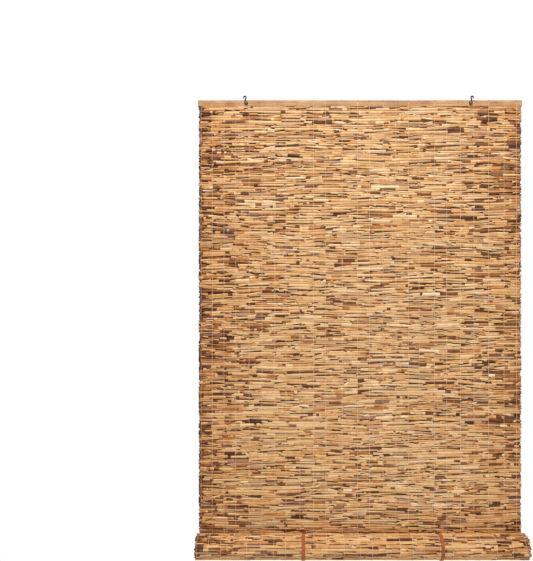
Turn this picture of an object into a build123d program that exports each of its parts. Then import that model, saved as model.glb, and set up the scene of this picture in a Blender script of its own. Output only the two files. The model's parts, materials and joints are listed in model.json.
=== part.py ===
"""A reed roll up blind that hangs by two wire hooks, with the lower part of its mat wound into a roll.

Frame, in millimetres: +X runs along the batten, +Z points up and -Y faces the room, so the wall is on the +Y
side. The origin is on the hanging line: at mid width, in the plane of the hooks' wire, at the height where the
hooks' upper loops bear on whatever they hang from.
"""

import math
import os

from build123d import *

os.makedirs("parts", exist_ok=True)

# Driving dimensions of the mat and the batten.
mat_width = 900.0
hanging_height = 1208.0  # from the batten's lower edge to where the mat turns into the roll
mat_thickness = 5.9
reed_pitch = 7.55  # height of one reed's ridge and the groove beside it
ridge_height = 0.9  # how far a reed's face stands out of the groove
groove_width = 1.6  # the flat bottom of a groove
bevel_width = 1.5  # a reed is pressed flat by the strings, and this much of each side slopes
batten_height = 17.0
batten_overhang = 1.0  # at each end, past the mat
batten_rounding = 1.4

# The thin slits between reeds, each in a groove and in the bay between two neighbouring threads.
slit_count = 72
slit_height = 1.1
slit_end_margin = 5.0  # left whole beside each thread
slit_row_step = 0.754878  # two unrelated steps, so that the slits spread evenly and don't line up
slit_bay_step = 0.569840

# The roll. Its outline is a spiral of quarter circles, each smaller than the last by a quarter of the pitch.
roll_radius = 36.5
roll_gap = 0.5  # air between two turns
roll_quarters = 18
smooth_quarters_from = 4  # the hidden turns inside the first one are plain

# The strings that bind the reeds. Their spacing is as uneven as on the real mat.
thread_width = 1.2
thread_thickness = 0.8
thread_clearance = 0.05
thread_edge_margin = 7.5  # from the mat's left edge to the first string
thread_right_margin = 14.0
thread_spacings = [
    31, 33, 33, 37, 36, 36, 31, 39, 38, 34, 46, 43,
    33, 38, 36, 35, 30, 43, 34, 38, 38, 41, 43, 35,
]
thread_nook_end = 8.0  # the front strings end this far above the mat's turn, where the roll closes on them
thread_chords = 3  # straight stretches of a string to each quarter of the roll
thread_last_chords = 2  # and in the fourth quarter, before it meets the hanging mat

# The ties.
strap_width = 9.5
strap_thickness = 1.6
strap_clearance = 0.3
strap_corner_radius = 0.8  # suede folds sharply
left_strap_thread = 8  # the strings that the straps lie beside, counted from 0 at the left
right_strap_thread = 18
left_strap_beside = 9.3
right_strap_beside = 6.4
knot_length = 13.0
knot_radius = 3.4
knot_shift = 3.5  # the knot lies off the strap's middle, towards -X
knot_to_mat = 1.2

# The hooks: S-shaped wire with a closed lower eye and an open upper loop.
wire_radius = 1.25
eye_radius = 3.6  # to the middle of the wire, as the upper loop's is
upper_loop_radius = 3.1
loop_distance = 15.5  # between the middles of the eye and the loop
eye_wire_gap = 0.2  # between the eye's cut end and the neck
upper_loop_sweep = 235.0
hook_lean = 12.0  # each hook leans outwards
left_hook_inset = 133.0  # from the mat's edge
right_hook_inset = 142.0
hook_clearance = 0.15  # between the wire and the strings behind it

# The screws that the hooks turn on.
shoulder_clearance = 0.1
screw_head_radius = 3.0
screw_head_height = 1.5
screw_head_rounding = 1.0
screw_shank_radius = 1.5
screw_shank_length = 4.6
screw_hole_clearance = 0.05
screw_hole_spare = 0.5
driver_slot_width = 0.8
driver_slot_depth = 0.6

# Places that follow from the sizes above.
lean = math.radians(hook_lean)
pivot_below_top = batten_height / 2
hook_bearing_above_pivot = loop_distance * math.cos(lean) + upper_loop_radius - wire_radius
pivot_z = -hook_bearing_above_pivot
batten_top = pivot_z + pivot_below_top
batten_bottom = batten_top - batten_height
turn_z = batten_bottom - hanging_height  # the mat leaves the vertical here and becomes the roll
face_front = wire_radius + hook_clearance + thread_thickness + thread_clearance
face_back = face_front + mat_thickness
face_middle = (face_front + face_back) / 2
thread_reach = thread_clearance + thread_thickness
roll_pitch = mat_thickness + roll_gap
quarter_step = roll_pitch / 4

ridge_count = round(hanging_height / reed_pitch)
ridge = hanging_height / ridge_count

thread_span = mat_width - thread_edge_margin - thread_right_margin
spacing_scale = thread_span / sum(thread_spacings)
thread_places = [
    -mat_width / 2 + thread_edge_margin + spacing_scale * sum(thread_spacings[:k])
    for k in range(len(thread_spacings) + 1)
]

left_strap_x = thread_places[left_strap_thread] + left_strap_beside
right_strap_x = thread_places[right_strap_thread] + right_strap_beside
left_hook_x = left_hook_inset - mat_width / 2
right_hook_x = mat_width / 2 - right_hook_inset

# One reed's profile: how far along the mat and how far out of its face each corner is.
reed_profile = [
    (groove_width / 2, -ridge_height),
    (groove_width / 2 + bevel_width, 0),
    (ridge - groove_width / 2 - bevel_width, 0),
    (ridge - groove_width / 2, -ridge_height),
]

# The roll's four centres lie on a small square, and the strap and the strings round the roll share them.
roll_centres = [
    (face_back - roll_radius, turn_z),
    (face_back - roll_radius, turn_z - quarter_step),
    (face_back - roll_radius - quarter_step, turn_z - quarter_step),
    (face_back - roll_radius - quarter_step, turn_z),
]
roll_top = turn_z + roll_radius - 3 * quarter_step


def quarter_radius(index):
    """The radius of the roll's outer face in a quarter, counted from where the mat turns."""
    return roll_radius - index * quarter_step


def spiral_point(index, share, offset=0.0):
    """A point (y, z) on a quarter of the spiral, share of the way along it, offset outwards from it."""
    centre_y, centre_z = roll_centres[index % 4]
    angle = -math.pi / 2 * (index + share)
    reach = quarter_radius(index) + offset
    return (centre_y + reach * math.cos(angle), centre_z + reach * math.sin(angle))


def spiral_arc(index, offset=0.0):
    """A quarter of the spiral as one arc of the line being drawn."""
    ThreePointArc(*(spiral_point(index, share, offset) for share in (0, 0.5, 1)))


def save(piece, name):
    """Labels a finished piece and writes its file."""
    piece.part.label = name
    export_step(piece.part, f"parts/{name}.step")


def head_batten():
    """The flat lath along the top, with a pilot hole for each hook's screw."""
    length = mat_width + 2 * batten_overhang
    with BuildPart() as batten:
        with BuildSketch(Plane.YZ.offset(-length / 2)):
            with Locations((face_middle, (batten_top + batten_bottom) / 2)):
                RectangleRounded(mat_thickness, batten_height, batten_rounding)
        extrude(amount=length)
        front = Plane.XZ.offset(-face_front)
        with BuildSketch(front):
            with Locations((left_hook_x, pivot_z), (right_hook_x, pivot_z)):
                Circle(screw_shank_radius + screw_hole_clearance)
        extrude(amount=-(screw_shank_length + screw_hole_spare), mode=Mode.SUBTRACT)
    save(batten, "head_batten")


def mat_outline():
    """The corners of the hanging mat's section: on both faces a ridge for each reed, with grooves between them."""
    groove_front = face_front + ridge_height
    groove_back = face_back - ridge_height
    front = [
        (face_front - out, turn_z + k * ridge + along) for k in range(ridge_count) for along, out in reed_profile
    ]
    back = [(face_front + face_back - y, z) for y, z in reversed(front)]
    top = [(groove_front, batten_bottom), (groove_back, batten_bottom)]
    return [(groove_front, turn_z), *front, *top, *back, (groove_back, turn_z)]


def slit_places():
    """The middle (x, z) and the length of each slit, in the groove between two reeds."""
    bays = len(thread_spacings)
    for k in range(slit_count):
        bay = int(bays * ((k + 0.5) * slit_bay_step % 1))
        row = 1 + int((ridge_count - 1) * ((k + 0.5) * slit_row_step % 1))
        left = thread_places[bay]
        right = thread_places[bay + 1]
        middle = ((left + right) / 2, turn_z + row * ridge)
        yield middle, right - left - 2 * slit_end_margin


def reed_mat():
    """The hanging wall of reeds, with its slits and the two openings that the straps pass through."""
    strap_hole_height = strap_thickness + 2 * strap_clearance
    strap_middle_z = roll_top + strap_clearance + strap_thickness / 2
    with BuildPart() as mat:
        with BuildSketch(Plane.YZ.offset(-mat_width / 2)):
            with BuildLine():
                Polyline(*mat_outline(), close=True)
            make_face()
        extrude(amount=mat_width)
        with BuildSketch(Plane.XZ.offset(-face_middle)):
            for middle, length in slit_places():
                with Locations(middle):
                    Rectangle(length, slit_height)
            with Locations((left_strap_x, strap_middle_z), (right_strap_x, strap_middle_z)):
                Rectangle(strap_width + 2 * strap_clearance, strap_hole_height)
        extrude(amount=mat_thickness, both=True, mode=Mode.SUBTRACT)
    save(mat, "reed_mat")


def ridged_quarter(index):
    """The corners of one quarter of the roll's outer face, with a ridge for each reed."""
    length = quarter_radius(index) * math.pi / 2
    reeds = round(length / ridge)
    for k in range(reeds):
        for along, out in reed_profile:
            yield spiral_point(index, (k + along / ridge) / reeds, out)


def reed_roll():
    """The wound part of the mat: one spiral wall whose first turn shows its reeds."""
    last = roll_quarters - 1
    with BuildPart() as roll:
        with BuildSketch(Plane.YZ.offset(-mat_width / 2)):
            with BuildLine():
                Polyline(
                    spiral_point(0, 0, -ridge_height),
                    *(corner for index in range(smooth_quarters_from) for corner in ridged_quarter(index)),
                    spiral_point(smooth_quarters_from, 0),
                )
                for index in range(smooth_quarters_from, roll_quarters):
                    spiral_arc(index)
                Line(spiral_point(last, 1), spiral_point(last, 1, -mat_thickness))
                for index in range(roll_quarters):
                    spiral_arc(index, -mat_thickness)
                Line(spiral_point(0, 0, -mat_thickness), spiral_point(0, 0, -ridge_height))
            make_face()
        extrude(amount=mat_width)
    save(roll, "reed_roll")


def warp_thread(x, name):
    """One string: down the mat's front, over the batten and down its back."""
    over = batten_top + thread_clearance
    inside_front = face_front - thread_clearance
    inside_back = face_back + thread_clearance
    outline = [
        (inside_front, turn_z + thread_nook_end),
        (inside_front, over),
        (inside_back, over),
        (inside_back, turn_z),
        (inside_back + thread_thickness, turn_z),
        (inside_back + thread_thickness, over + thread_thickness),
        (inside_front - thread_thickness, over + thread_thickness),
        (inside_front - thread_thickness, turn_z + thread_nook_end),
    ]
    with BuildPart() as thread:
        with BuildSketch(Plane.YZ.offset(x - thread_width / 2)):
            with BuildLine():
                Polyline(*outline, close=True)
            make_face()
        extrude(amount=thread_width)
    save(thread, name)


def roll_thread_corners():
    """The corners of a string's section round the roll: flat stretches that each touch the reeds at their middle."""
    bulge = roll_radius * (1 / math.cos(math.pi / 4 / thread_chords) - 1)
    corners = [(q, (k + 0.5) / thread_chords) for q in range(3) for k in range(thread_chords)]
    corners += [(3, (k + 0.5) / thread_chords) for k in range(thread_last_chords)]
    sides = []
    for reach in (thread_clearance, thread_reach):
        start = spiral_point(0, 0, reach)
        end = spiral_point(3, thread_last_chords / thread_chords, reach)
        sides.append([start, *(spiral_point(q, share, reach + bulge) for q, share in corners), end])
    near, far = sides
    return [*near, *reversed(far)]


def roll_threads():
    """The 25 strings where they go round the roll."""
    with BuildPart() as threads:
        for x in thread_places:
            with BuildSketch(Plane.YZ.offset(x - thread_width / 2)):
                with BuildLine():
                    Polyline(*roll_thread_corners(), close=True)
                make_face()
            extrude(amount=thread_width)
    save(threads, "roll_threads")


def strap_edge(offset, corner_radius):
    """One edge of the strap's section: round the roll, back through the mat and down behind it."""
    side = face_back + offset
    top = roll_top + offset
    corner = corner_radius * (1 - math.sqrt(0.5))
    for index in range(3):
        spiral_arc(index, offset)
    Line(spiral_point(2, 1, offset), (side - corner_radius, top))
    ThreePointArc((side - corner_radius, top), (side - corner, top - corner), (side, top - corner_radius))
    Line((side, top - corner_radius), (side, turn_z))


def strap(x, name):
    """A suede tie: a band round the roll and through the mat, with its knot in the nook above the roll."""
    outer = strap_clearance + strap_thickness
    knot_y = face_front - thread_reach - knot_to_mat - knot_radius
    knot_z = roll_top + outer
    with BuildPart() as tie:
        with BuildSketch(Plane.YZ.offset(x - strap_width / 2)):
            with BuildLine():
                strap_edge(outer, strap_corner_radius + strap_thickness)
            make_face()
            with BuildLine():
                strap_edge(strap_clearance, strap_corner_radius)
            make_face(mode=Mode.SUBTRACT)
        extrude(amount=strap_width)
        with BuildSketch(Plane.YZ.offset(x - knot_shift - knot_length / 2)):
            with Locations((knot_y, knot_z)):
                Circle(knot_radius)
            with Locations((knot_y, knot_z - knot_radius)):
                Rectangle(2 * knot_radius, 2 * knot_radius, mode=Mode.SUBTRACT)
        extrude(amount=knot_length)
    save(tie, name)


def hook(x, side, name):
    """An S-shaped wire hook that leans outwards, with its lower eye round the screw."""
    crossing = math.asin((eye_radius + upper_loop_radius) / loop_distance)
    neck_angle = math.degrees(crossing)
    eye_opening = math.degrees(math.acos(1 - (2 * wire_radius + eye_wire_gap) / eye_radius))
    neck_top = (
        -upper_loop_radius * math.cos(crossing),
        loop_distance - upper_loop_radius * math.sin(crossing),
    )
    across = (side * math.cos(lean), 0, -math.sin(lean))
    leaning = Plane(origin=(x, 0, pivot_z), x_dir=across, z_dir=(0, -side, 0))
    with BuildPart() as wire:
        with BuildLine(leaning) as path:
            eye = CenterArc((0, 0), eye_radius, neck_angle + eye_opening, 360 - eye_opening)
            Line(eye @ 1, neck_top)
            CenterArc((0, loop_distance), upper_loop_radius, 180 + neck_angle, -upper_loop_sweep)
        with BuildSketch(Plane(origin=path.line @ 0, z_dir=path.line % 0)):
            Circle(wire_radius)
        sweep()
    save(wire, name)


def screw(x, name):
    """A small slotted screw with a plain shoulder that the hook's eye turns on."""
    shoulder_radius = eye_radius - wire_radius - shoulder_clearance
    head_back = -wire_radius - hook_clearance
    with BuildPart() as body:
        with BuildSketch(Plane.XZ.offset(-face_front)):
            with Locations((x, pivot_z)):
                Circle(screw_shank_radius)
        extrude(amount=-screw_shank_length)
        with BuildSketch(Plane.XZ.offset(-face_front)):
            with Locations((x, pivot_z)):
                Circle(shoulder_radius)
        extrude(amount=face_front - head_back)
        with BuildSketch(Plane.XZ.offset(-head_back)):
            with Locations((x, pivot_z)):
                Circle(screw_head_radius)
        extrude(amount=screw_head_height)
        rim = body.edges().filter_by(GeomType.CIRCLE).sort_by(Axis.Y)[0]
        fillet(rim, screw_head_rounding)
        with BuildSketch(Plane.XZ.offset(screw_head_height - head_back)):
            with Locations((x, pivot_z)):
                Rectangle(2 * screw_head_radius, driver_slot_width)
        extrude(amount=-driver_slot_depth, mode=Mode.SUBTRACT)
    save(body, name)


head_batten()
reed_mat()
reed_roll()
for number, place in enumerate(thread_places, 1):
    warp_thread(place, f"warp_thread_{number:02d}")
roll_threads()
strap(left_strap_x, "left_strap")
strap(right_strap_x, "right_strap")
hook(left_hook_x, -1, "left_hook")
hook(right_hook_x, 1, "right_hook")
screw(left_hook_x, "left_screw")
screw(right_hook_x, "right_screw")
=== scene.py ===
# %% [markdown]
# # A reed roll up blind
#
# The blind is a mat of thin reeds, bound side by side by 25 pale strings, below a flat wooden batten. Two
# small wire hooks hold the batten, and the mat's lower part is wound forwards into a roll that two suede
# straps tie.
#
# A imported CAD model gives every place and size. It is loaded first, and it doesn't change here. This
# lesson dresses it: each reed, string, strap and hook is made as a mesh of its own, and the other hard
# pieces get their finishes.

# %% Load the fixed frame
import json
import math

import bpy
import mathutils
import numpy as np
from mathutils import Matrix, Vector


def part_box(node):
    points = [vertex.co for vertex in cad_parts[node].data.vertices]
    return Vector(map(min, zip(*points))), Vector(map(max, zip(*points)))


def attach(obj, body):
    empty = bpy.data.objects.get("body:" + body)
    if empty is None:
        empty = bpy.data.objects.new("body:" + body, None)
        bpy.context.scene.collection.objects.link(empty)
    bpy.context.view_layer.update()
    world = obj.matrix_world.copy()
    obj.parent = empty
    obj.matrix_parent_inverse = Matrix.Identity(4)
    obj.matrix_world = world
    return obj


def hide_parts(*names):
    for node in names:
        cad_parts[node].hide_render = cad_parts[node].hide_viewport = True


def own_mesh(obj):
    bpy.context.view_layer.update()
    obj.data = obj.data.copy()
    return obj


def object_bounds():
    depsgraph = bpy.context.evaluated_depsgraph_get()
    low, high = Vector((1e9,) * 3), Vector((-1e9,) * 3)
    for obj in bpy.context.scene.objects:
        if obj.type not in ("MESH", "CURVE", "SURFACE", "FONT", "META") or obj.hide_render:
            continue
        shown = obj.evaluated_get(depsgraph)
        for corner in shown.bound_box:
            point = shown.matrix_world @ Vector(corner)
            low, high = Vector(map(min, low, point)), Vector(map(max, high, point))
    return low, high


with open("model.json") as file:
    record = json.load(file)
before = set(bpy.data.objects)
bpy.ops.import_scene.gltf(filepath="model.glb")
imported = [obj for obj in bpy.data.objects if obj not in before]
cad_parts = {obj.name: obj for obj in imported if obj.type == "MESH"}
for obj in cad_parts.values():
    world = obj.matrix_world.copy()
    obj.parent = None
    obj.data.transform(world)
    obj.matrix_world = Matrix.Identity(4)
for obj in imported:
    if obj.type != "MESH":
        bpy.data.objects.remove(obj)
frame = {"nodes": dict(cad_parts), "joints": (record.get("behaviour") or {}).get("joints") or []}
cad_low, cad_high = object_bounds()
print("CAD box:", tuple(cad_low), tuple(cad_high))

# %% [markdown]
# Blender counts in metres. A reed is a few millimetres thick, so sizes are written as a number times mm.
# What the CAD model already knows isn't measured again: the mat's faces, the roll's reach and each
# string's place come from the boxes of its nodes.

# %% Sizes from the frame
mm = 0.001
mat_low, mat_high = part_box("reed_mat")
roll_low, roll_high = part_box("reed_roll")
batten_low, batten_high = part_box("head_batten")
string_count = 25
string_x = np.array([sum(c.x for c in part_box(f"warp_thread_{k + 1:02d}")) / 2 for k in range(string_count)])
mat_left = mat_low.x
mat_right = mat_high.x
front_y = mat_low.y
back_y = mat_high.y
turn_z = mat_low.z
mat_thickness = back_y - front_y
hanging_length = mat_high.z - mat_low.z
print("mat", round((mat_right - mat_left) / mm), "by", round(hanging_length / mm), "mm")
print("strings at", np.round(string_x / mm).astype(int))

# %% [markdown]
# A material in Blender is a graph of nodes. Wiring it by hand takes many lines, so one small class stands
# for an output socket: a sum or product written in Python adds the Math node that works it out, and its
# node method adds a node of any other kind.

# %% A socket that can be reckoned with
class Socket:
    """An output of a node in a material. Sums, differences and products of it add Math nodes."""

    def __init__(self, tree, output=None):
        self.tree = tree
        self.output = output

    def node(self, kind, settings=None, sockets=None, output=0):
        """Adds a node of any kind: its settings first, then the values or links of its sockets."""
        made = self.tree.nodes.new(kind)
        settings = dict(settings or {})
        stops = settings.pop("stops", None)
        for name, value in settings.items():
            setattr(made, name, value)
        if stops:
            elements = made.color_ramp.elements
            while len(elements) < len(stops):
                elements.new(0.5)
            for element, (position, shade) in zip(elements, stops):
                element.position = position
                element.color = shade
        for name, value in (sockets or {}).items():
            if isinstance(value, Socket):
                self.tree.links.new(value.output, made.inputs[name])
            else:
                made.inputs[name].default_value = value
        return Socket(self.tree, made.outputs[output] if made.outputs else None)

    def math(self, operation, first, second):
        return self.node("ShaderNodeMath", {"operation": operation}, {0: first, 1: second})

    def __add__(self, other):
        return self.math("ADD", self, other)

    def __radd__(self, other):
        return self.math("ADD", other, self)

    def __sub__(self, other):
        return self.math("SUBTRACT", self, other)

    def __rsub__(self, other):
        return self.math("SUBTRACT", other, self)

    def __mul__(self, other):
        return self.math("MULTIPLY", self, other)

    def __rmul__(self, other):
        return self.math("MULTIPLY", other, self)


print("a socket adds, subtracts and multiplies")

# %% [markdown]
# Every finish below starts from the same few steps: an empty material, the place on the object, noise at
# that place, and a ramp that turns a number into a colour. Wood, reed and string all grow along one
# direction, and noise turns into streaks when the place is multiplied by a small number along the grain
# and a large one across it. These helpers keep each finish down to what is special about it.

# %% Helpers for finishes
def colour(red, green, blue):
    """A colour as a screen shows it, 0 to 255, turned into the linear values that Blender works in."""
    shown = np.array([red, green, blue]) / 255
    linear = np.where(shown <= 0.04045, shown / 12.92, ((shown + 0.055) / 1.055) ** 2.4)
    return (*linear.tolist(), 1.0)


def new_finish(name):
    """An empty material, as the socket that its first node grows from."""
    material = bpy.data.materials.new(name)
    material.use_nodes = True
    material.node_tree.nodes.clear()
    return material, Socket(material.node_tree)


def place_on(start):
    """The place on the object, which its finish is laid out by."""
    return start.node("ShaderNodeTexCoord", output="Object")


def end_finish(start, sockets):
    """Closes a material with its shader and output."""
    shader = start.node("ShaderNodeBsdfPrincipled", None, sockets)
    start.node("ShaderNodeOutputMaterial", None, {"Surface": shader})


def vector_math(operation, first, second):
    """A sum or product of places."""
    sockets = {0: first, 1: second}
    return first.node("ShaderNodeVectorMath", {"operation": operation}, sockets, output="Vector")


def noise(place, scale, detail, roughness=0.5):
    """Noise from 0 to 1 that is mostly near a half."""
    settings = {"Vector": place, "Scale": scale, "Detail": detail, "Roughness": roughness}
    return place.node("ShaderNodeTexNoise", None, settings, output="Fac")


def ramp(value, stops):
    """The colour that a number gets, from stops of a number and a colour."""
    return value.node("ShaderNodeValToRGB", {"stops": stops}, {"Fac": value}, output="Color")


def above(value, limit):
    """1 where the value is above the limit, and 0 elsewhere."""
    return value.math("GREATER_THAN", value, limit)


def mix_colours(factor, first, second):
    """A blend of two colours."""
    of = first if isinstance(first, Socket) else factor
    return of.node("ShaderNodeMix", {"data_type": "RGBA"}, {"Factor": factor, 6: first, 7: second}, output=2)


def bump(height, strength, depth):
    """Relief too fine for the mesh."""
    return height.node("ShaderNodeBump", None, {"Strength": strength, "Distance": depth, "Height": height})


print("middle grey is", round(colour(128, 128, 128)[0], 3), "in linear light")

# %% [markdown]
# Dry reed goes from pale straw to dark sheath brown, and no two lengths match. Each length of each reed
# carries a number, its tone, in the mesh, and a colour ramp turns the tone into one of the reed's own
# colours. A second number, its age, greys some lengths. Fine streaks run along the stalk: noise that is
# stretched along X.

# %% The reed's finish
reed_colours = [
    (0.00, colour(46, 18, 4)),
    (0.12, colour(86, 44, 14)),
    (0.26, colour(136, 80, 36)),
    (0.40, colour(188, 120, 60)),
    (0.54, colour(216, 159, 96)),
    (0.70, colour(228, 183, 128)),
    (0.86, colour(240, 207, 160)),
    (1.00, colour(252, 233, 200)),
]
grey_reed = colour(150, 118, 106)
grey_from_age = 0.9
grey_share = 0.45
streak_stretch = (22.0, 700.0, 700.0)
streak_strength = 0.46
blotch_strength = 0.26


def reed_finish():
    material, start = new_finish("reed")
    place = place_on(start)
    tone = place.node("ShaderNodeAttribute", {"attribute_name": "tone"}, output="Fac")
    age = place.node("ShaderNodeAttribute", {"attribute_name": "age"}, output="Fac")
    apart = place.node("ShaderNodeCombineXYZ", None, {"X": age * 31.0, "Y": tone * 57.0, "Z": age * 83.0})
    along = vector_math("ADD", vector_math("MULTIPLY", place, streak_stretch), apart)
    streaks = noise(along, 1.0, 4.0, roughness=0.6)
    blotches = noise(place, 90.0, 2.0)
    varied = tone + (streaks - 0.5) * streak_strength + (blotches - 0.5) * blotch_strength
    dry = ramp(varied, reed_colours)
    grey = mix_colours(grey_share, dry, grey_reed)
    shown = mix_colours(above(age, grey_from_age), dry, grey)
    relief = bump(streaks, 0.5, 0.15 * mm)
    rough = 0.42 + streaks * 0.25
    end_finish(start, {"Base Color": shown, "Roughness": rough, "Normal": relief, "Specular IOR Level": 0.4})
    return material


reed_material = reed_finish()
print("reed colours:", len(reed_colours))

# %% [markdown]
# A reed is a long stalk whose leaf sheaths end in small steps. It can be one tube with rings where a
# sheath starts, swells and ends. Where they end is drawn at random, because reeds aren't cut to a pattern,
# but some ends lie at a string, which pulls loose sheaths off. The seed makes each run draw the same
# numbers.

# %% Where a reed's sheaths end
rng = np.random.default_rng(20)
sheath_mean = 23 * mm
sheath_least = 7 * mm
sheath_most = 80 * mm
sheath_shape = 1.6  # of the gamma distribution: many short sheaths and a few long ones
string_pull = 0.12  # how often a sheath ends where a string holds it
string_slack_mm = 2
tip_chance = 0.5  # how often a reed has a short sheath at its end
tip_lengths_mm = (4, 10)
ragged = 4.5 * mm  # how far the shortest reeds end inside the mat's edge
hidden_inset = 2.8 * mm  # the reeds inside the mat end this far from its edge


def sheath_ends():
    """Where one reed's sheaths end, from edge to edge."""
    places = [mat_left + ragged * rng.random() ** 2]
    last = mat_right - ragged * rng.random() ** 2
    if rng.random() < tip_chance:
        places.append(places[0] + rng.uniform(*tip_lengths_mm) * mm)
    while True:
        length = rng.gamma(sheath_shape, sheath_mean / sheath_shape)
        place = places[-1] + float(np.clip(length, sheath_least, sheath_most))
        nearest = string_x[np.abs(string_x - place).argmin()]
        if rng.random() < string_pull and nearest > places[-1] + sheath_least:
            place = nearest + rng.uniform(-string_slack_mm, string_slack_mm) * mm
        if place > last - 2 * sheath_least:
            break
        places.append(place)
    if rng.random() < tip_chance:
        places.append(last - rng.uniform(*tip_lengths_mm) * mm)
    return np.array([*places, last])


example_ends = sheath_ends()
print("sheaths on a reed:", len(example_ends) - 1)

# %% [markdown]
# Most sheaths are sand and straw, and some are brown. Towards both edges the brown ones grow more common and
# every tone gets darker, most of all at the left, where short tips are near black. This is partly the reeds'
# own browner ends and partly painted shade, strongest at the left. A number for each sheath says all this,
# and the finish above turns it into a colour. This way one material serves every reed.

# %% A tone for each sheath
usual_tone = 0.66
tone_spread = 0.09
left_reach = 95 * mm
right_reach = 80 * mm
right_strength = 0.7
edge_browning_and_shade = 0.18
brown_share = 0.08
brown_share_at_edge = 0.34
brown_tones = (0.1, 0.46)
tip_tones = (0.0, 0.2)
tip_longest = 10.5 * mm
tip_reach = 12 * mm


def sheath_tones(ends):
    """A tone for each sheath between these ends."""
    count = len(ends) - 1
    middle = (ends[1:] + ends[:-1]) / 2
    left = np.exp(-(middle - mat_left) / left_reach)
    right = np.exp(-(mat_right - middle) / right_reach)
    edge = left + right_strength * right
    # Darker towards the edges: partly the reeds' own colour, partly painted shade.
    tones = rng.normal(usual_tone, tone_spread, count) - edge_browning_and_shade * edge
    brown = rng.random(count) < brown_share + brown_share_at_edge * edge
    tones[brown] = rng.uniform(*brown_tones, brown.sum())
    # Near-black short tips at the left: partly dark cut tips, partly painted shade.
    tip = (np.diff(ends) < tip_longest) & (middle - mat_left < tip_reach)
    tones[tip] = rng.uniform(*tip_tones, tip.sum())
    return np.clip(tones, 0.01, 1)


example_tones = sheath_tones(example_ends)
print("its tones: from", round(example_tones.min(), 2), "to", round(example_tones.max(), 2))

# %% [markdown]
# A sheath is narrow where it leaves the stalk and wide at its mouth. So a reed's size jumps at each sheath's
# end, and beside a thin sheath a slim wedge stays open to the inside of the mat, whose reeds are painted dark
# as painted shade. Modelling those wedges gives the mat its short brown dashes, which no colour on a flat
# sheet would show from the side.

# %% One reed
thin_share = 0.52  # how many sheaths are thin
thin_sizes = (0.34, 0.72), (0.62, 1.04)  # where it leaves the stalk and at its mouth, as shares of its row
full_sizes = (0.9, 1.0), (0.98, 1.08)
sheath_step = 0.3 * mm
unevenness = 0.5 * mm


def wander(x, size):
    """A slow unevenness along a reed, of about this size."""
    long_wave = np.sin(2 * math.pi * (x / rng.uniform(0.35, 0.7) + rng.random()))
    short_wave = np.sin(2 * math.pi * (x / rng.uniform(0.09, 0.2) + rng.random()))
    return size * (0.6 * long_wave + 0.4 * short_wave)


class Reed:
    """Rings along one reed: where each is, how far it reaches, and the tone and age of the stretch after it.

    A thin sheath keeps to one edge of its row. A plain reed has no thin sheaths and only two long ones.
    """

    def __init__(self, height, depth, plain=False, drift=None):
        ends = sheath_ends()
        if plain:
            ends = np.array([mat_left + hidden_inset, (mat_left + mat_right) / 2, mat_right - hidden_inset])
        tones = sheath_tones(ends)
        count = len(tones)
        thin = rng.random(count) < (0.0 if plain else thin_share)
        sizes = [
            np.where(thin, rng.uniform(*if_thin, count), rng.uniform(*if_full, count))
            for if_thin, if_full in zip(thin_sizes, full_sizes)
        ]
        size = np.stack(sizes, axis=1)
        if rng.random() < 0.5:
            size = size[:, ::-1]
        size = size.ravel()
        kept_edge = np.repeat(rng.choice((-1.0, 1.0), count), 2)
        self.x = np.stack((ends[:-1] + sheath_step, ends[1:] - sheath_step), axis=1).ravel()
        self.up = kept_edge * (1 - size) * height / 2 + wander(self.x, unevenness)
        if drift is not None:
            self.up += drift(self.x)
        self.height = height / 2 * size
        self.depth = depth / 2 * (0.4 + 0.6 * size)
        self.tone = np.stack((tones, tones * 0.6), axis=1).ravel()
        self.age = np.repeat(rng.random(count), 2)
        self.cut_ends()

    def cut_ends(self):
        """A cut reed is hollow, so its wall turns in at both ends. The bore inside gets a near-black tone:
        painted shade in the hollow.
        """
        wall = 0.6
        bore = 2.5 * mm
        first = [0, 0]
        last = [-1, -1]
        self.x = np.concatenate(([self.x[0] + bore, self.x[0]], self.x, [self.x[-1], self.x[-1] - bore]))
        for name in ("height", "depth"):
            old = getattr(self, name)
            setattr(self, name, np.concatenate((old[first] * wall, old, old[last] * wall)))
        self.up = np.concatenate((self.up[first], self.up, self.up[last]))
        self.age = np.concatenate(([0, 0], self.age, [0, 0]))
        # Painted shade: the bore is near black (0.02); the cut rim gets a darker tone (0.3).
        self.tone = np.concatenate(([0.02, 0.3], self.tone[:-1], [0.3, 0.02, 0.02]))


example_reed = Reed(6 * mm, 4 * mm)
print("a reed has", len(example_reed.x), "rings")

# %% [markdown]
# All reeds of a layer go into one mesh, made from arrays, because Blender handles one large mesh faster
# than hundreds of objects. Each ring of a reed is an ellipse, set by how far it reaches outwards from the
# mat and along it. Each reed has a middle in the YZ plane and an angle that says which way the mat's face
# looks there: half a turn for the hanging mat's front, and every angle in turn round the roll.

# %% Many reeds in one mesh
sides_shown = 8
sides_hidden = 6


def new_piece(name, points, faces, material):
    """A smooth mesh of these points and faces, in the scene, with its finish."""
    mesh = bpy.data.meshes.new(name)
    mesh.from_pydata(points.reshape(-1, 3).tolist(), [], faces)
    mesh.shade_smooth()
    mesh.materials.append(material)
    piece = bpy.data.objects.new(name, mesh)
    bpy.context.scene.collection.objects.link(piece)
    return piece


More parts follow.
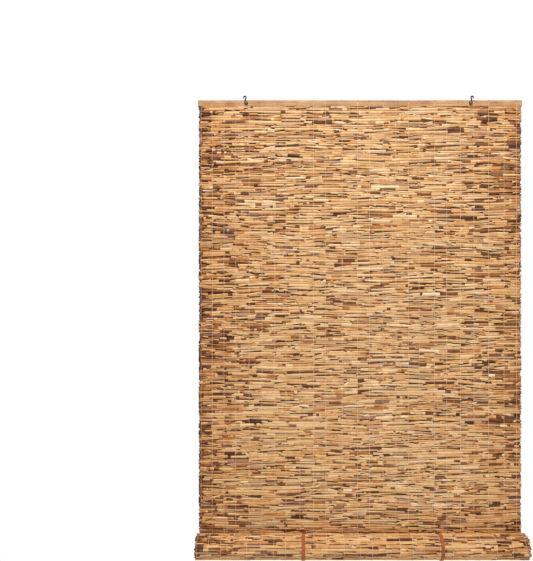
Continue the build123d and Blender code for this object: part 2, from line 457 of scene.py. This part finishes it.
def reed_mesh(name, reeds, middles, angles, sides):
    """One mesh of all these reeds."""
    turn = 2 * math.pi * np.arange(sides) / sides + math.pi / sides
    points, faces, tones, ages = [], [], [], []
    start = 0
    for reed, middle, angle in zip(reeds, middles, angles):
        outward = np.array([0, math.cos(angle), math.sin(angle)])
        along = np.array([0, math.sin(angle), -math.cos(angle)])
        count = len(reed.x)
        ring = np.zeros((count, sides, 3))
        ring[:, :, 0] = reed.x[:, None]
        ring += np.array([0, *middle])
        ring += reed.depth[:, None, None] * np.cos(turn)[None, :, None] * outward
        ring += (reed.up[:, None, None] + reed.height[:, None, None] * np.sin(turn)[None, :, None]) * along
        points.append(ring.reshape(-1, 3))
        index = start + np.arange(count * sides).reshape(count, sides)
        ahead = np.roll(index, -1, axis=1)
        quads = np.stack((index[:-1], index[1:], ahead[1:], ahead[:-1]), axis=-1).reshape(-1, 4)
        faces += quads.tolist()
        faces += [index[0].tolist(), index[-1][::-1].tolist()]
        tones += [*np.repeat(reed.tone[:-1], sides), reed.tone[0], reed.tone[-1]]
        ages += [*np.repeat(reed.age[:-1], sides), 0.0, 0.0]
        start += count * sides
    piece = new_piece(name, np.concatenate(points), faces, reed_material)
    for label, values in (("tone", tones), ("age", ages)):
        numbers = piece.data.attributes.new(label, "FLOAT", "FACE")
        numbers.data.foreach_set("value", np.array(values, np.float32))
    return piece


def triangles(piece):
    return sum(len(face.vertices) - 2 for face in piece.data.polygons)


print("faces on a shown reed:", sides_shown * (len(example_reed.x) - 1) + 2)

# %% [markdown]
# The real mat is two or three reeds thick. A front and a back layer show, with uneven rows, and a few flatter
# reeds fill the middle. Their tone is cut to a small share as painted shade, so where a front sheath is thin,
# the eye looks past it into a dark middle. A slow drift carries neighbouring rows up and down together,
# because the reeds aren't quite straight. In the nook above the roll, the rows' tone is darkened as painted
# shade, for the shadow that the roll casts there.

# %% Rows of the hanging mat
row_mean = 6.4 * mm
row_spread = 0.36
layer_depth = 0.62 * mat_thickness
core_depth = 0.3 * mat_thickness
shown_height = 1.04  # a reed's height as a share of its row's
core_height = 1.35
# a small share of tone: painted shade inside the mat
core_painted_shade = 0.16
drift_fade = 60 * mm
nook_hidden = 17 * mm  # the roll hides the mat this far above the turn, seen from the room


def row_edges(length):
    """Edges of rows of uneven height that fill a length exactly."""
    heights = rng.uniform(1 - row_spread, 1 + row_spread, round(length / row_mean))
    return np.concatenate(([0], np.cumsum(heights))) * length / heights.sum()


def mat_drift(z):
    """How the rows at a height drift along the mat. It fades out at the batten and at the roll."""
    fade = min(1.0, (mat_high.z - z) / drift_fade, (z - mat_low.z) / drift_fade)

    def drift(x):
        wide = 2.0 * np.sin(2 * math.pi * (x / 0.53 + z / 0.41))
        near = 1.1 * np.sin(2 * math.pi * (x / 0.21 - z / 0.17 + 0.3))
        return fade * mm * (wide + near)

    return drift


def painted_nook_shade(z):
    """What is left of a row's tone under the painted shade in the nook. The darkest rows are those just above
    the roll's crest.
    """
    rise = max(z - turn_z - nook_hidden, 0)
    return 1 - 0.22 * math.exp(-rise / (20 * mm)) - 0.42 * math.exp(-rise / (3.5 * mm))


def hanging_rows():
    """The height and the middle of each row."""
    edges = row_edges(hanging_length)
    return zip(np.diff(edges), turn_z + (edges[1:] + edges[:-1]) / 2)


def hanging_layer(face_y, angle):
    """Reeds, middles and angles of one layer of the hanging mat."""
    reeds, middles = [], []
    facing = 1 if angle else -1
    for height, z in hanging_rows():
        flow = mat_drift(z)
        reed = Reed(height * shown_height, layer_depth, drift=lambda x: facing * flow(x))
        # Painted shade: rows just above the roll are darkened for the roll's shadow.
        reed.tone *= painted_nook_shade(z)
        reeds.append(reed)
        middles.append((face_y - math.cos(angle) * layer_depth / 2, z))
    return reeds, middles, [angle] * len(reeds)


def core_layer():
    """The flat reeds in the middle, which overlap. Their dark tone is painted shade."""
    reeds, middles = [], []
    for height, z in hanging_rows():
        reed = Reed(height * core_height, core_depth, plain=True, drift=mat_drift(z))
        # Painted shade: the core's tone is cut to a small share.
        reed.tone *= core_painted_shade
        reeds.append(reed)
        middles.append(((front_y + back_y) / 2, z))
    return reeds, middles, [math.pi] * len(reeds)


front_rows = hanging_layer(front_y, math.pi)
back_rows = hanging_layer(back_y, 0.0)
core_rows = core_layer()
print("rows in front, behind and between:", [len(rows[0]) for rows in (front_rows, back_rows, core_rows)])

# %% [markdown]
# When the roll rises, the mat above it gets shorter, as if it passed into the roll. Here a hanging piece is
# only attached to the head body and given a mesh of its own.
# A layer is split into parts, so that none of its meshes gets too heavy.


def hang(piece):
    """The piece belongs to the hanging mat: it is attached to the head body, with a mesh of its own."""
    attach(piece, "head")
    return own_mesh(piece)


def split_layer(name, rows, sides, parts):
    """A layer as a few pieces."""
    count = len(rows[0])
    for part in range(parts):
        chosen = slice(count * part // parts, count * (part + 1) // parts)
        piece = reed_mesh(f"{name}_{part + 1}", *(values[chosen] for values in rows), sides)
        hang(piece)
        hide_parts("reed_mat")
        print(piece.name, triangles(piece), "triangles")


split_layer("front_reeds", front_rows, sides_shown, 2)
split_layer("back_reeds", back_rows, sides_hidden, 2)
split_layer("core_reeds", core_rows, sides_hidden, 1)

# %% [markdown]
# The roll is the same mat, wound forwards, so its outer face is the mat's back. Its section is a spiral
# that can be drawn with quarter circles round four centres, each quarter smaller than the last. The roll's
# box gives its first radius. Reeds are set along it one pitch apart, from where the mat turns to the inner
# end.

# %% The spiral
roll_gap = 0.5 * mm
quarter_step = (mat_thickness + roll_gap) / 4
first_radius = (roll_high.y - roll_low.y + quarter_step) / 2
roll_quarters = 17.8
centres = [
    (back_y - first_radius, turn_z),
    (back_y - first_radius, turn_z - quarter_step),
    (back_y - first_radius - quarter_step, turn_z - quarter_step),
    (back_y - first_radius - quarter_step, turn_z),
]


def spiral(quarters, inward=0.0):
    """The point (y, z) and the outward angle after so many quarter turns, so far inside the outer face."""
    index = int(quarters)
    angle = -math.pi / 2 * quarters
    reach = first_radius - index * quarter_step - inward
    centre_y, centre_z = centres[index % 4]
    return (centre_y + reach * math.cos(angle), centre_z + reach * math.sin(angle)), angle


def spiral_steps(inward, lead):
    """Quarter turns at which rows stand, one uneven pitch apart, and their heights.

    The lead keeps the first reed below the hanging ones, which crowd above it when the roll has risen.
    """
    place = lead / ((first_radius - inward) * math.pi / 2)
    while place < roll_quarters:
        height = row_mean * rng.uniform(1 - row_spread, 1 + row_spread)
        reach = first_radius - int(place) * quarter_step - inward
        step = height / (reach * math.pi / 2)
        yield place + step / 2, height
        place += step


print("roll radius", round(first_radius / mm, 2), "mm")

# %% [markdown]
# Three layers of reeds follow the spiral. Only the outer one shows, on its first turn, so only there do reeds
# get their thin sheaths. The rest are plain, and show as a coil of cut ends at the roll's two faces. Each
# layer's tone is darkened as painted shade: the outer one a little, for the roll's rounded face, the inner
# two much, for the dark inside of the roll.

# %% Reeds round the roll
shown_quarters = 4.1


def roll_layer(inward, depth, height_share, painted_shade_share, lead, shown):
    """Reeds, middles and angles of one layer of the roll, so far inside its outer face."""
    reeds, middles, angles = [], [], []
    for place, height in spiral_steps(inward, lead):
        middle, angle = spiral(place, inward)
        reed = Reed(height * height_share, depth, plain=not shown or place > shown_quarters)
        # Painted shade: the layer's tone is cut to this share.
        reed.tone *= painted_shade_share
        reeds.append(reed)
        middles.append(middle)
        angles.append(angle)
    return reeds, middles, angles


outer_inward = layer_depth / 2
inner_inward = mat_thickness - layer_depth / 2
core_inward = mat_thickness / 2
# Painted shade: the outer layer keeps 0.9 of its tone, the inner layers much less.
outer_rows = roll_layer(outer_inward, layer_depth, shown_height, 0.9, 1.3 * mm, shown=True)
inner_rows = roll_layer(inner_inward, layer_depth, 1.1, 0.7, 1.6 * mm, shown=False)
middle_rows = roll_layer(core_inward, core_depth, core_height, core_painted_shade, 3.0 * mm, shown=False)
for name, rows in (("roll_outer", outer_rows), ("roll_inner", inner_rows), ("roll_core", middle_rows)):
    piece = reed_mesh(f"{name}_reeds", *rows, sides_shown)
    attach(piece, "roll")
    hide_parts("reed_roll")
    print(piece.name, len(rows[0]), "reeds", triangles(piece), "triangles")

# %% [markdown]
# The strings are twisted cream yarn, matt and a little fluffy, and stained where they have been handled.
# Two sizes of noise make the fluff and the stains, and a soft bump stands for the twist, which is too fine
# to show.

# %% The strings' finish
string_colours = [(0.3, colour(186, 148, 108)), (0.5, colour(224, 196, 160)), (0.75, colour(244, 226, 200))]


def string_finish():
    material, start = new_finish("binding_string")
    place = place_on(start)
    fluff = noise(place, 900.0, 3.0)
    stain = noise(place, 60.0, 2.0)
    shade = ramp(stain * 0.6 + fluff * 0.4, string_colours)
    relief = bump(fluff, 0.6, 0.2 * mm)
    end_finish(start, {"Base Color": shade, "Roughness": 0.85, "Normal": relief, "Sheen Weight": 0.2})
    return material


string_material = string_finish()
print("string colours:", len(string_colours))

# %% [markdown]
# A string or a wire is a round tube along a path. Blender's curves can do that, but a mesh made from
# arrays gives the same tube with each ring's radius chosen, so a knot is just a few thicker rings. The
# ring's plane comes from the path's direction and a second direction that no path here runs along.

# %% Tubes along paths
string_sides = 5
wire_sides = 12


def tube_mesh(name, paths, radii, sides, material, across=(1.0, 0.0, 0.0)):
    """Round tubes along paths of points, with a radius for each point. No path runs along across."""
    turn = 2 * math.pi * np.arange(sides) / sides
    points, faces = [], []
    start = 0
    for path, radius in zip(paths, radii):
        count = len(path)
        forward = np.gradient(path, axis=0)
        forward /= np.linalg.norm(forward, axis=1)[:, None]
        side = np.cross(forward, across)
        side /= np.linalg.norm(side, axis=1)[:, None]
        other = np.cross(forward, side)
        turned = np.cos(turn)[None, :, None] * side[:, None, :]
        turned = turned + np.sin(turn)[None, :, None] * other[:, None, :]
        points.append((path[:, None, :] + radius[:, None, None] * turned).reshape(-1, 3))
        index = start + np.arange(count * sides).reshape(count, sides)
        ahead = np.roll(index, -1, axis=1)
        faces += np.stack((index[:-1], ahead[:-1], ahead[1:], index[1:]), axis=-1).reshape(-1, 4).tolist()
        faces += [index[0][::-1].tolist(), index[-1].tolist()]
        start += count * sides
    return new_piece(name, np.concatenate(points), faces, material)


print("sides of a string and of a wire:", string_sides, wire_sides)

# %% [markdown]
# A string passes in front of one reed and dips between it and the next. Its points come from the reeds
# themselves, one on each crest and one in each groove, so it lies on them. At the top it has a small knot
# and turns over the batten, and it comes down the mat's back in the same way.

# %% Strings on the hanging mat
string_radius = 0.5 * mm
string_dip = 0.9 * mm
string_sway = 0.35 * mm
least_reach = 0.42 * layer_depth
knot_radii_mm = (0.9, 1.25)
nook_end = 8 * mm  # the front strings end here, where the roll closes on the mat


def reed_reach(reed, x):
    """How far a reed stands out from its middle at a place along it."""
    inside = slice(2, -2)
    return max(float(np.interp(x, reed.x[inside], reed.depth[inside])), least_reach)


def string_points(rows, x):
    """Points of a string over a layer: a crest on each reed and a dip beside it."""
    crests = []
    for reed, middle, angle in zip(*rows):
        outward = np.array([math.cos(angle), math.sin(angle)])
        reach = reed_reach(reed, x) + string_radius * 0.7
        crests.append(np.array(middle) + outward * reach)
    crests = np.array(crests)
    outwards = np.array([(math.cos(a), math.sin(a)) for a in rows[2]])
    dips = (crests[1:] + crests[:-1]) / 2 - (outwards[1:] + outwards[:-1]) / 2 * string_dip
    points = np.zeros((2 * len(crests) - 1, 3))
    points[0::2, 1:] = crests
    points[1::2, 1:] = dips
    points[:, 0] = x + string_sway * np.array([(-1, 1)[k // 2 % 2] for k in range(len(points))])
    return points


def over_batten(x):
    """The string's way over the batten: up its front, across its top and down its back."""
    knot = rng.uniform(*knot_radii_mm) * mm
    front = batten_low.y - string_radius
    back = batten_high.y + string_radius
    top = batten_high.z + string_radius
    bottom = batten_low.z
    height = batten_high.z - bottom
    shares = np.linspace(0.1, 0.9, 4)
    rise = [(x, front, bottom + height * share) for share in shares]
    fall = [(x, back, bottom + height * share) for share in shares[::-1]]
    over = [(x, front, top - 1.6 * mm), (x, front, top - 0.5 * mm), (x, front + 0.6 * mm, top)]
    down = [(x, (front + back) / 2, top), (x, back - 0.5 * mm, top), (x, back, top - 0.4 * mm)]
    path = np.array([*rise, *over, *down, *fall])
    radius = np.full(len(path), string_radius)
    radius[len(rise):len(rise) + 2] = knot
    return path, radius


for number, x in enumerate(string_x, 1):
    front = string_points(front_rows, x)
    front = front[front[:, 2] > turn_z + nook_end]
    back = string_points(back_rows, x)
    top, top_radius = over_batten(x)
    path = np.concatenate((front, top, back[::-1]))
    radius = np.full(len(path), string_radius)
    radius[len(front):len(front) + len(top)] = top_radius
    name = f"hanging_string_{number:02d}"
    piece = tube_mesh(name, [path], [radius], string_sides, string_material)
    hang(piece)
    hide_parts(f"warp_thread_{number:02d}")
print("each hanging string:", triangles(piece), "triangles")

# %% [markdown]
# Round the roll the same strings go on over the outer reeds, up to where the roll meets the hanging mat.
# They turn with the roll's body and not with the mat's, so they are a piece of their own.

# %% Strings round the roll
string_quarters = 3.7
bound = [k for k, angle in enumerate(outer_rows[2]) if -angle / (math.pi / 2) < string_quarters]
bound_rows = [[values[k] for k in bound] for values in outer_rows]
paths = [string_points(bound_rows, x) for x in string_x]
radii = [np.full(len(path), string_radius) for path in paths]
piece = tube_mesh("roll_strings", paths, radii, string_sides, string_material)
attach(piece, "roll")
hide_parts("roll_threads")
print("roll strings:", triangles(piece), "triangles")

# %% [markdown]
# The two ties are flat laces of rust-brown suede. Suede has a nap: short fibres that scatter light, so it
# looks soft and slightly pale at grazing angles. Fine noise in the colour and the relief gives that, with no
# gloss. The knots get a darker finish of the same kind: painted shade for the shadow in their folds.

# %% The suede's finish
suede_browns = (108, 50, 20), (164, 87, 38), (196, 116, 60)
suede_stops = (0.25, 0.5, 0.8)


def suede_finish(name, light):
    """Light is 1 for the lace, and less for the knot, whose darker colour is painted shade in its folds."""
    material, start = new_finish(name)
    place = place_on(start)
    browns = [colour(*(light * np.array(brown))) for brown in suede_browns]
    nap = noise(place, 1400.0, 3.0)
    rubbed = noise(place, 130.0, 3.0)
    shade = ramp(rubbed * 0.65 + nap * 0.35, list(zip(suede_stops, browns)))
    relief = bump(nap, 0.5, 0.2 * mm)
    end_finish(start, {"Base Color": shade, "Roughness": 0.92, "Normal": relief, "Sheen Weight": 0.08})
    return material


suede_material = suede_finish("suede", 1.0)
# Painted shade: the knot's finish is the suede's at 0.58 of its light.
knot_shade_material = suede_finish("dark_suede", 0.58)
print("suede finishes:", suede_material.name, "and", knot_shade_material.name)

# %% [markdown]
# A lace is a closed loop with a flat section. It could be a curve with a bevel, but a curve twists where
# it bends. Here every ring keeps its width along X, so the lace lies flat on the roll all the way round.

# %% Flat bands
lace_half = [(0.5, 0.3), (0.42, 0.5), (-0.42, 0.5), (-0.5, 0.3)]  # in shares of width and thickness
lace_section = np.array(lace_half + [(-across, -up) for across, up in lace_half])


def band_mesh(name, path, width, thickness, material):
    """A closed loop of flat lace along a path. Its width lies along X."""
    across = np.array([1.0, 0.0, 0.0])
    forward = np.roll(path, -1, axis=0) - np.roll(path, 1, axis=0)
    forward /= np.linalg.norm(forward, axis=1)[:, None]
    outward = np.cross(across, forward)
    outward /= np.linalg.norm(outward, axis=1)[:, None]
    ring = path[:, None, :] + np.multiply.outer(width, lace_section[:, 0])[:, :, None] * across
    ring += thickness * lace_section[None, :, 1, None] * outward[:, None, :]
    count, sides = ring.shape[:2]
    index = np.arange(count * sides).reshape(count, sides)
    ahead = np.roll(index, -1, axis=0)
    quads = np.stack((index, ahead, np.roll(ahead, -1, axis=1), np.roll(index, -1, axis=1)), axis=-1)
    return new_piece(name, ring, quads.reshape(-1, 4).tolist(), material)


print("a lace's section has", len(lace_section), "corners")

# %% [markdown]
# Each tie goes round the roll and back through the mat. It follows the roll's outer face up to the crest,
# sinks between the reeds to the nook, passes through the mat and comes down behind it. Its knot, three
# short loops of lace side by side, sits on the crest.

# %% The ties
cad_strap_width = 9.5 * mm
strap_width = 9.3 * mm
strap_thickness = 1.5 * mm
strap_clearance = -0.1 * mm  # a tied lace presses in between the reeds
crest_quarters = 3.02  # the lace lies on the roll's face up to here
sunk_quarters = 3.1  # from here on it lies deeper
nook_quarters = 3.45  # here it leaves the roll and passes through the mat
sunk = 2 * mm
knot_quarters = 3.08
knot_lift = 2.4 * mm
knot_width = 8.5 * mm
knot_reach = 2.2 * mm
knot_lean = 0.9 * mm
knot_loops = 3
knot_lace_width = 3.6 * mm
knot_lace_thickness = 1.3 * mm


def strap_path(x, pull):
    """Points of the tie's middle. Near the top the lace is pulled aside."""
    inward = -(strap_clearance + strap_thickness / 2)
    around = [spiral(quarters, inward)[0] for quarters in np.linspace(0, crest_quarters, 44)]
    around += [spiral(quarters, sunk)[0] for quarters in np.linspace(sunk_quarters, nook_quarters, 6)]
    top = around[-1][1]
    behind = back_y - inward
    back = [(y, top) for y in np.linspace(around[-1][0], behind - 2 * mm, 6)[1:]]
    corner = [(behind - 0.5 * mm, top - 0.4 * mm)]
    down = [(behind, z) for z in np.linspace(top - 2 * mm, turn_z, 8)[:-1]]
    path = np.array([(x, y, z) for y, z in [*around, *back, *corner, *down]])
    share = np.clip(np.linspace(-2.4, 1.6, len(path)), 0, 1)
    path[:, 0] += pull * share * share + wander(np.arange(len(path)) * 5 * mm, 0.25 * mm)
    return path


def knot_paths(x, y, z):
    """Loops of lace side by side round the X axis, as the points of each loop's middle."""
    turn = np.linspace(0, 2 * math.pi, 18)[:-1]
    for k in range(knot_loops):
        aside = k - (knot_loops - 1) / 2
        reach = knot_reach * (1.12 - 0.1 * abs(aside))
        loop_x = x + aside * knot_width / knot_loops + knot_lean * np.cos(turn + k)
        yield np.stack((loop_x, y + reach * np.cos(turn), z + reach * np.sin(turn)), axis=1)


def tie(side, pull, knot_shift):
    """One strap and its knot."""
    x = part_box(f"{side}_strap")[1].x - cad_strap_width / 2
    path = strap_path(x, pull)
    width = strap_width + wander(np.arange(len(path)) * 7 * mm, 0.4 * mm)
    pieces = [band_mesh(f"{side}_band", path, width, strap_thickness, suede_material)]
    knot_y, knot_z = spiral(knot_quarters, -knot_lift)[0]
    for number, loop in enumerate(knot_paths(x + knot_shift, knot_y, knot_z), 1):
        width = np.full(len(loop), knot_lace_width)
        pieces.append(band_mesh(f"{side}_knot_{number}", loop, width, knot_lace_thickness, knot_shade_material))
    for piece in pieces:
        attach(piece, "roll")
        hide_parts(f"{side}_strap")
    print(side, "tie:", len(pieces), "pieces at x", round(x / mm, 1))


tie("left", pull=0.5 * mm, knot_shift=3.0 * mm)
tie("right", pull=-0.8 * mm, knot_shift=-6.0 * mm)

# %% [markdown]
# The batten and the screws keep their CAD shapes. The batten is planed softwood: its grain is noise
# stretched along X, with a few fine pores. The hooks are black painted wire with a worn edge, and the
# screws are dull zinc.

# %% Wood, paint and zinc
batten_colours = [(0.34, colour(132, 84, 48)), (0.5, colour(184, 134, 88)), (0.66, colour(212, 168, 120))]
grain_stretch = (9.0, 260.0, 260.0)
pore_stretch = (60.0, 1500.0, 1500.0)
worn_from = 0.68


def batten_finish():
    material, start = new_finish("batten_wood")
    place = place_on(start)
    grain = noise(vector_math("MULTIPLY", place, grain_stretch), 1.0, 4.0)
    pores = noise(vector_math("MULTIPLY", place, pore_stretch), 1.0, 2.0)
    cloud = noise(place, 24.0, 3.0)
    shade = ramp(grain * 0.45 + pores * 0.2 + cloud * 0.35, batten_colours)
    relief = bump(grain * 0.5 + pores, 0.4, 0.15 * mm)
    end_finish(start, {"Base Color": shade, "Roughness": 0.55 + pores * 0.15, "Normal": relief})
    return material


def wire_finish():
    material, start = new_finish("black_wire")
    place = place_on(start)
    worn = noise(place, 420.0, 4.0)
    bare = above(worn, worn_from)
    shade = mix_colours(bare, colour(6, 6, 6), colour(38, 35, 32))
    sockets = {"Base Color": shade, "Roughness": 0.6 + worn * 0.2, "Metallic": bare * 0.4}
    sockets["Normal"] = bump(worn, 0.3, 0.05 * mm)
    sockets["Specular IOR Level"] = 0.04
    end_finish(start, sockets)
    return material


def zinc_finish():
    material, start = new_finish("screw_zinc")
    place = place_on(start)
    dull = noise(place, 700.0, 3.0)
    shade = mix_colours(dull, colour(74, 66, 58), colour(150, 138, 124))
    end_finish(start, {"Base Color": shade, "Metallic": 1.0, "Roughness": 0.35 + dull * 0.3})
    return material


def give(node, material):
    """A CAD node keeps its shape and takes a finish."""
    piece = frame["nodes"][node]
    piece.data.materials.clear()
    piece.data.materials.append(material)


give("head_batten", batten_finish())
black_wire = wire_finish()
zinc = zinc_finish()
for side in ("left", "right"):
    give(f"{side}_screw", zinc)
print("finishes made:", len(bpy.data.materials))

# %% [markdown]
# A hook is one length of wire: an eye round the screw, a straight neck and a loop that is open below. The
# packed hook is bent from bare wire, and the painted one looks heavier, so it is a tube along the same
# bends that gets thicker above the eye. The eye keeps its thickness, because it turns on the screw.

# %% The wire hooks
wire_radius = 1.25 * mm
painted_radius = 1.65 * mm
eye_bend = 3.6 * mm
loop_bend = 3.1 * mm
loop_rise = 15.5 * mm  # from the eye's middle to the loop's
eye_cut = 0.2 * mm  # between the eye's cut end and the neck
eye_gap_angle = math.acos(1 - (2 * wire_radius + eye_cut) / eye_bend)
loop_sweep = math.radians(235)
hook_lean = math.radians(12)


def arc(centre_z, radius, first, last, count):
    """Points (x, z) of an arc between two angles."""
    angles = np.linspace(first, last, count)
    return np.stack((radius * np.cos(angles), centre_z + radius * np.sin(angles)), axis=1)


def hook_path(pivot, outwards):
    """Points of the wire's middle, and its radius there. The hook leans outwards."""
    neck = math.asin((eye_bend + loop_bend) / loop_rise)
    eye = arc(0, eye_bend, neck + eye_gap_angle, neck + 2 * math.pi, 22)
    loop = arc(loop_rise, loop_bend, math.pi + neck, math.pi + neck - loop_sweep, 16)
    straight = np.linspace(eye[-1], loop[0], 5)[1:-1]
    flat = np.concatenate((eye, straight, loop))
    x = outwards * (flat[:, 0] * math.cos(hook_lean) + flat[:, 1] * math.sin(hook_lean))
    z = flat[:, 1] * math.cos(hook_lean) - flat[:, 0] * math.sin(hook_lean)
    radius = np.full(len(x), painted_radius)
    radius[:len(eye) + 1] = wire_radius
    y = pivot[1] + wire_radius - radius  # the wire's back stays in one plane, clear of the strings
    path = np.stack((pivot[0] + x, y, pivot[2] + z), axis=1)
    return path, radius


pivots = {joint["child"]: joint["pos_m"] for joint in frame["joints"] if joint["type"] == "hinge"}
for side, outwards in (("left", -1), ("right", 1)):
    path, radius = hook_path(pivots[f"{side}_hook"], outwards)
    name = f"{side}_wire"
    wire = tube_mesh(name, [path], [radius], wire_sides, black_wire, across=(0.0, 1.0, 0.0))
    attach(wire, f"{side}_hook")
    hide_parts(f"{side}_hook")
    print(wire.name, "from", np.round(path.min(axis=0) / mm, 1), "to", np.round(path.max(axis=0) / mm, 1))

# %% [markdown]
# The blind hangs in front of a white studio. A pale floor lies two metres below the hanging line, where
# such a blind's floor would be. It catches the shadow and ends below the picture's lower edge.

# %% Floor
floor_drop = 2.0
floor_size = 3.6
floor_back = 1.15  # behind the blind
floor_place = (0, floor_back - floor_size / 2, -floor_drop)


def floor_finish():
    material, start = new_finish("pale_floor")
    end_finish(start, {"Base Color": colour(248, 248, 247), "Roughness": 0.8})
    return material


bpy.ops.mesh.primitive_grid_add(x_subdivisions=2, y_subdivisions=2, size=floor_size, location=floor_place)
floor = bpy.context.object
floor.name = "floor"
floor.data.materials.append(floor_finish())
print("floor at", floor_place)

# %% [markdown]
# Large lamps give soft shadows. The key lamp stands in front, above and to the left, so that each reed has
# a bright top and a shaded lower side. The fill lamp opens the shadows from the right, and a rear one
# shines through the slits. The world adds even light from all sides. Looked at, it is plain white: a Light
# Path node tells the rays that reach the camera, a gloss or clear glass from those that only light the
# blind.

# %% Light
def soft_lamp(name, place, aim, size, power):
    """A square lamp at a place, turned towards a point."""
    data = bpy.data.lights.new(name, "AREA")
    data.size = size
    data.energy = power
    lamp = bpy.data.objects.new(name, data)
    bpy.context.scene.collection.objects.link(lamp)
    lamp.location = place
    direction = np.array(aim) - np.array(place)
    lamp.rotation_euler = mathutils.Vector(direction).to_track_quat("-Z", "Y").to_euler()


middle = (0, 0, (cad_low.z + cad_high.z) / 2)
soft_lamp("key", (-0.5, -1.5, 2.3), middle, 1.2, 105)
soft_lamp("fill", (1.2, -2.4, 0.4), middle, 1.8, 16)
soft_lamp("rear", (0.3, 2.2, 1.6), middle, 1.8, 40)

world_light = 0.36
world = bpy.data.worlds.new("studio")
bpy.context.scene.world = world
world.use_nodes = True
world.node_tree.nodes.clear()
start = Socket(world.node_tree)
seen_rays = ("Is Camera Ray", "Is Glossy Ray", "Is Transmission Ray")
camera_ray, glossy_ray, clear_ray = (start.node("ShaderNodeLightPath", output=ray) for ray in seen_rays)
seen = start.math("MAXIMUM", start.math("MAXIMUM", camera_ray, glossy_ray), clear_ray)
light = start.node("ShaderNodeBackground", None, {"Color": (1, 1, 1, 1), "Strength": world_light})
white = start.node("ShaderNodeBackground", None, {"Color": (1, 1, 1, 1), "Strength": 1.0})
both = start.node("ShaderNodeMixShader", None, {0: seen, 1: light, 2: white})
start.node("ShaderNodeOutputWorld", None, {"Surface": both})
bpy.context.scene.view_settings.view_transform = "Standard"
print("lamps:", len(bpy.data.lights))

# %% [markdown]
# The photograph was taken straight on, from about 1.4 metres. So the camera looks along Y, at the height
# and the place where the roll's perspective fits, and a small lens shift moves the blind to where the
# picture has it. The numbers ending in px are in the photograph's pixels.

# %% Camera
photo_width = 533
photo_height = 561
mat_middle_px = 360.0
batten_top_px = 100.1
facing_px = (300.0, 298.0)  # the point that the camera looks straight at
size_of_px = 2.784 * mm  # on the mat
lens_px = 512.0
sensor = 36.0
data = bpy.data.cameras.new("camera")
data.sensor_width = sensor
data.lens = sensor * lens_px / photo_height
data.shift_x = (photo_width / 2 - facing_px[0]) / photo_height
data.shift_y = (facing_px[1] - photo_height / 2) / photo_height
camera = bpy.data.objects.new("camera", data)
bpy.context.scene.collection.objects.link(camera)
camera.location = (
    (facing_px[0] - mat_middle_px) * size_of_px,
    front_y - lens_px * size_of_px,
    batten_high.z - (facing_px[1] - batten_top_px) * size_of_px,
)
camera.rotation_euler = (math.pi / 2, 0, 0)
bpy.context.scene.camera = camera
print("camera at", np.round(np.array(camera.location), 3), "lens", round(data.lens, 1))
